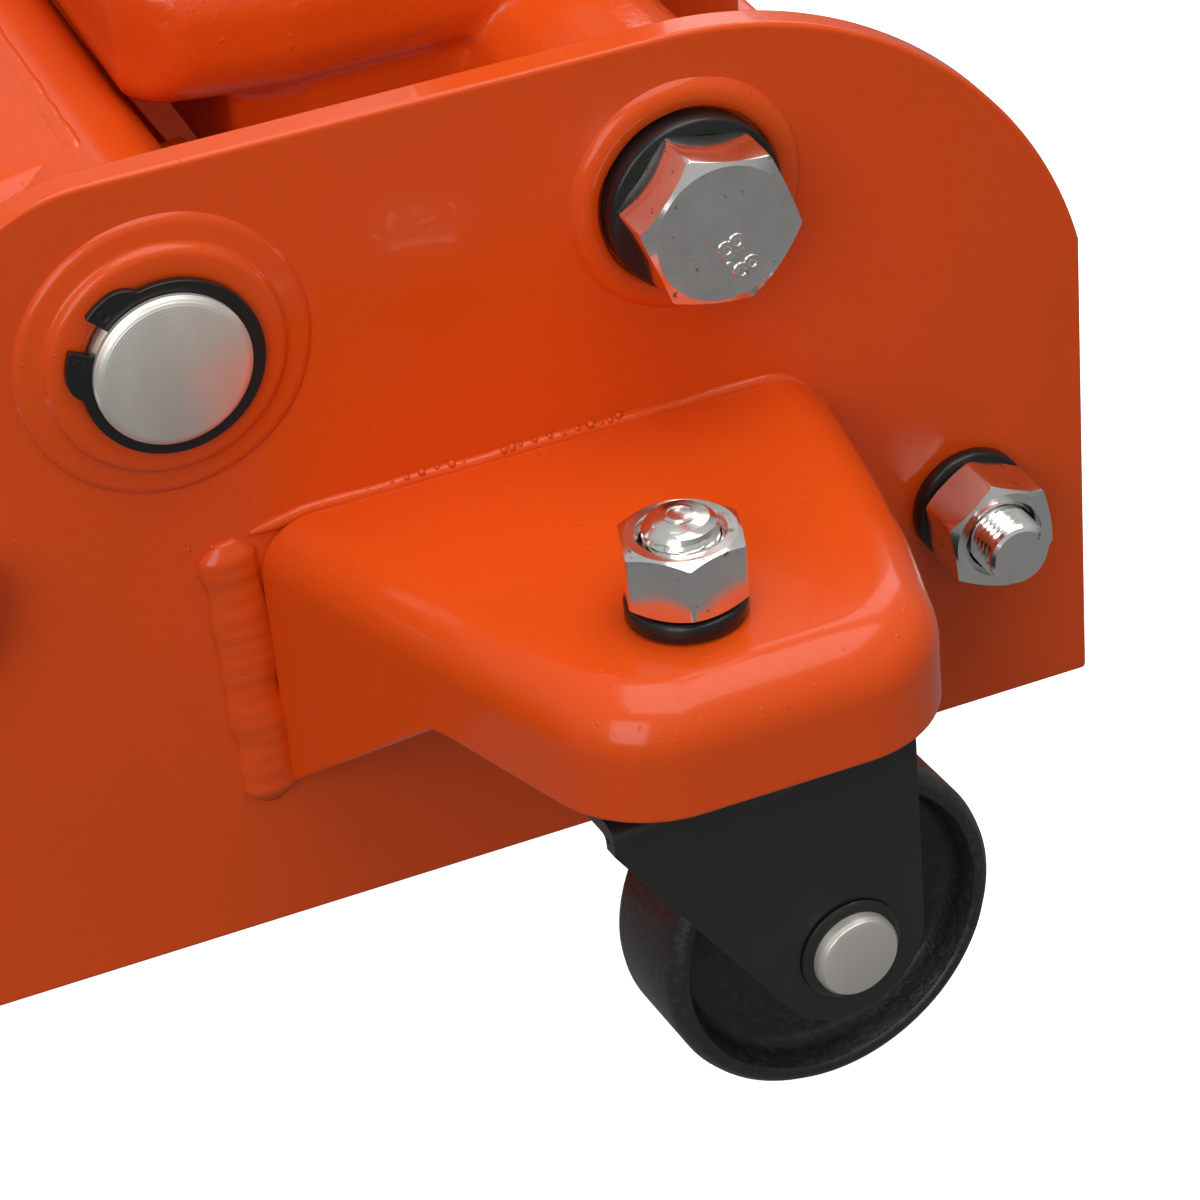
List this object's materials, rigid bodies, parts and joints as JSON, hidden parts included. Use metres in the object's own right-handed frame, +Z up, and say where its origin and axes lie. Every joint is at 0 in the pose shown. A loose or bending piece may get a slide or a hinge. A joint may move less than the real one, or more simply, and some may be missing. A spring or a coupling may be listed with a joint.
{
  "type": "trolley jack",
  "caption": "Low hydraulic trolley jack in glossy orange with a swinging lift arm, self-levelling saddle, pump handle and swivel casters.",
  "frame": {"origin": "middle of the whole jack's footprint, on the floor", "axes": "-Y towards the saddle end, +Y towards the handle end, +X the left-hand side, +Z up"},
  "size_m": [0.376, 0.8488, 1.0836],
  "materials": {
    "orange_paint": "thick glossy paint",
    "zinc_plate": "bright zinc plate",
    "turned_steel": "plain turned steel",
    "black_oxide": "satin black oxide",
    "black_paint": "semi-gloss black paint",
    "black_cast_iron": "sand-cast and blacked",
    "ground_chrome": "ground and polished",
    "black_rubber": "matte moulded rubber"
  },
  "bodies": {
    "chassis": {"caster_bracket_L": "orange_paint", "caster_bracket_R": "orange_paint", "caster_nut_L": "zinc_plate", "caster_nut_R": "zinc_plate", "caster_race_L": "black_paint", "caster_race_R": "black_paint", "caster_stem_L": "zinc_plate", "caster_stem_R": "zinc_plate", "caster_washer_L": "black_oxide", "caster_washer_R": "black_oxide", "floor_brace": "orange_paint", "front_axle": "turned_steel", "link_bolt_L": "zinc_plate", "link_bolt_R": "zinc_plate", "pivot_circlip_L": "black_oxide", "pivot_circlip_R": "black_oxide", "pivot_shaft": "turned_steel", "power_unit_casting": "orange_paint", "ram_cylinder": "black_paint", "return_spring_L": "zinc_plate", "return_spring_R": "zinc_plate", "side_plate_L": "orange_paint", "side_plate_R": "orange_paint", "stud_nut_L": "zinc_plate", "stud_nut_R": "zinc_plate", "stud_washer_L": "black_oxide", "stud_washer_R": "black_oxide", "unit_bolt_L": "zinc_plate", "unit_bolt_R": "zinc_plate", "unit_bolt_washer_L": "black_oxide", "unit_bolt_washer_R": "black_oxide", "unit_stud_L": "zinc_plate", "unit_stud_R": "zinc_plate", "yoke_pin_L": "zinc_plate", "yoke_pin_R": "zinc_plate"},
    "lift_arm": {"lift_arm": "orange_paint", "ram_roller": "turned_steel", "seat_pin": "zinc_plate"},
    "seat": {"saddle_seat": "black_cast_iron", "link_pin": "zinc_plate"},
    "saddle": {"saddle": "black_cast_iron", "saddle_pad": "black_rubber"},
    "link_left": {"levelling_link_L": "orange_paint"},
    "link_right": {"levelling_link_R": "orange_paint"},
    "ram": {"ram": "ground_chrome"},
    "yoke": {"handle_yoke": "orange_paint", "pump_roller": "turned_steel"},
    "handle": {"handle_tube": "orange_paint", "handle_upper_tube": "orange_paint", "handle_grip": "black_rubber"},
    "plunger": {"pump_plunger": "ground_chrome"},
    "release_valve": {"release_valve": "zinc_plate"},
    "caster_left": {"caster_fork_L": "black_paint", "caster_axle_L": "turned_steel"},
    "caster_right": {"caster_fork_R": "black_paint", "caster_axle_R": "turned_steel"},
    "caster_wheel_left": {"caster_wheel_L": "black_cast_iron"},
    "caster_wheel_right": {"caster_wheel_R": "black_cast_iron"},
    "front_wheel_left": {"front_wheel_L": "black_cast_iron"},
    "front_wheel_right": {"front_wheel_R": "black_cast_iron"}
  },
  "joints": [
    {"name": "lift", "type": "hinge", "parent": "chassis", "child": "lift_arm", "pos_m": [0, 0.07362, 0.124], "axis": [-1, 0, 0], "range_deg": [0, 62], "deforming": ["return_spring_L", "return_spring_R"]},
    {"name": "saddle_level", "type": "hinge", "parent": "lift_arm", "child": "seat", "pos_m": [0, -0.31638, 0.084], "axis": [-1, 0, 0], "range_deg": [-63, 1]},
    {"name": "saddle_spin", "type": "hinge", "parent": "seat", "child": "saddle", "pos_m": [0, -0.31638, 0.108], "axis": [0, 0, 1], "continuous": true},
    {"name": "link_left_swing", "type": "hinge", "parent": "chassis", "child": "link_left", "pos_m": [0, 0.02762, 0.0944], "axis": [-1, 0, 0], "range_deg": [-1, 63]},
    {"name": "link_right_swing", "type": "hinge", "parent": "chassis", "child": "link_right", "pos_m": [0, 0.02762, 0.0944], "axis": [-1, 0, 0], "range_deg": [-1, 63]},
    {"name": "ram_slide", "type": "slide", "parent": "chassis", "child": "ram", "axis": [0, -1, 0], "range_m": [-0.001, 0.073]},
    {"name": "handle_pump", "type": "hinge", "parent": "chassis", "child": "yoke", "pos_m": [0, 0.16562, 0.172], "axis": [-1, 0, 0], "range_deg": [0, 55]},
    {"name": "pump_slide", "type": "slide", "parent": "chassis", "child": "plunger", "axis": [0, 0, -1], "range_m": [-0.0005, 0.0228]},
    {"name": "handle_twist", "type": "hinge", "parent": "yoke", "child": "handle", "pos_m": [0, 0.16562, 0.172], "axis": [0, 0.2588, 0.9659], "range_deg": [0, 90]},
    {"name": "valve_turn", "type": "hinge", "parent": "chassis", "child": "release_valve", "pos_m": [0, 0.16562, 0.172], "axis": [0, 0.6428, 0.766], "range_deg": [-1, 91]},
    {"name": "caster_left_swivel", "type": "hinge", "parent": "chassis", "child": "caster_left", "pos_m": [0.1655, 0.13332, 0.0677], "axis": [0, 0, 1], "continuous": true},
    {"name": "caster_right_swivel", "type": "hinge", "parent": "chassis", "child": "caster_right", "pos_m": [-0.1655, 0.13332, 0.0677], "axis": [0, 0, 1], "continuous": true},
    {"name": "caster_left_roll", "type": "hinge", "parent": "caster_left", "child": "caster_wheel_left", "pos_m": [0.16413, 0.14967, 0.029], "axis": [0.9965, 0.0837, 0], "continuous": true},
    {"name": "caster_right_roll", "type": "hinge", "parent": "caster_right", "child": "caster_wheel_right", "pos_m": [-0.16413, 0.14967, 0.029], "axis": [0.9965, -0.0837, 0], "continuous": true},
    {"name": "front_left_roll", "type": "hinge", "parent": "chassis", "child": "front_wheel_left", "pos_m": [0.131, -0.38638, 0.038], "axis": [1, 0, 0], "continuous": true},
    {"name": "front_right_roll", "type": "hinge", "parent": "chassis", "child": "front_wheel_right", "pos_m": [-0.131, -0.38638, 0.038], "axis": [1, 0, 0], "continuous": true}
  ],
  "couplings": [
    {"joint": "saddle_level", "follows": "lift", "ratio": -1},
    {"joint": "link_left_swing", "follows": "lift", "ratio": 1},
    {"joint": "link_right_swing", "follows": "lift", "ratio": 1},
    {"joint": "ram_slide", "follows": "lift", "m_per_rad": 0.0656},
    {"joint": "pump_slide", "follows": "handle_pump", "m_per_rad": 0.023},
    {"joint": "valve_turn", "follows": "handle_twist", "ratio": 1}
  ]
}
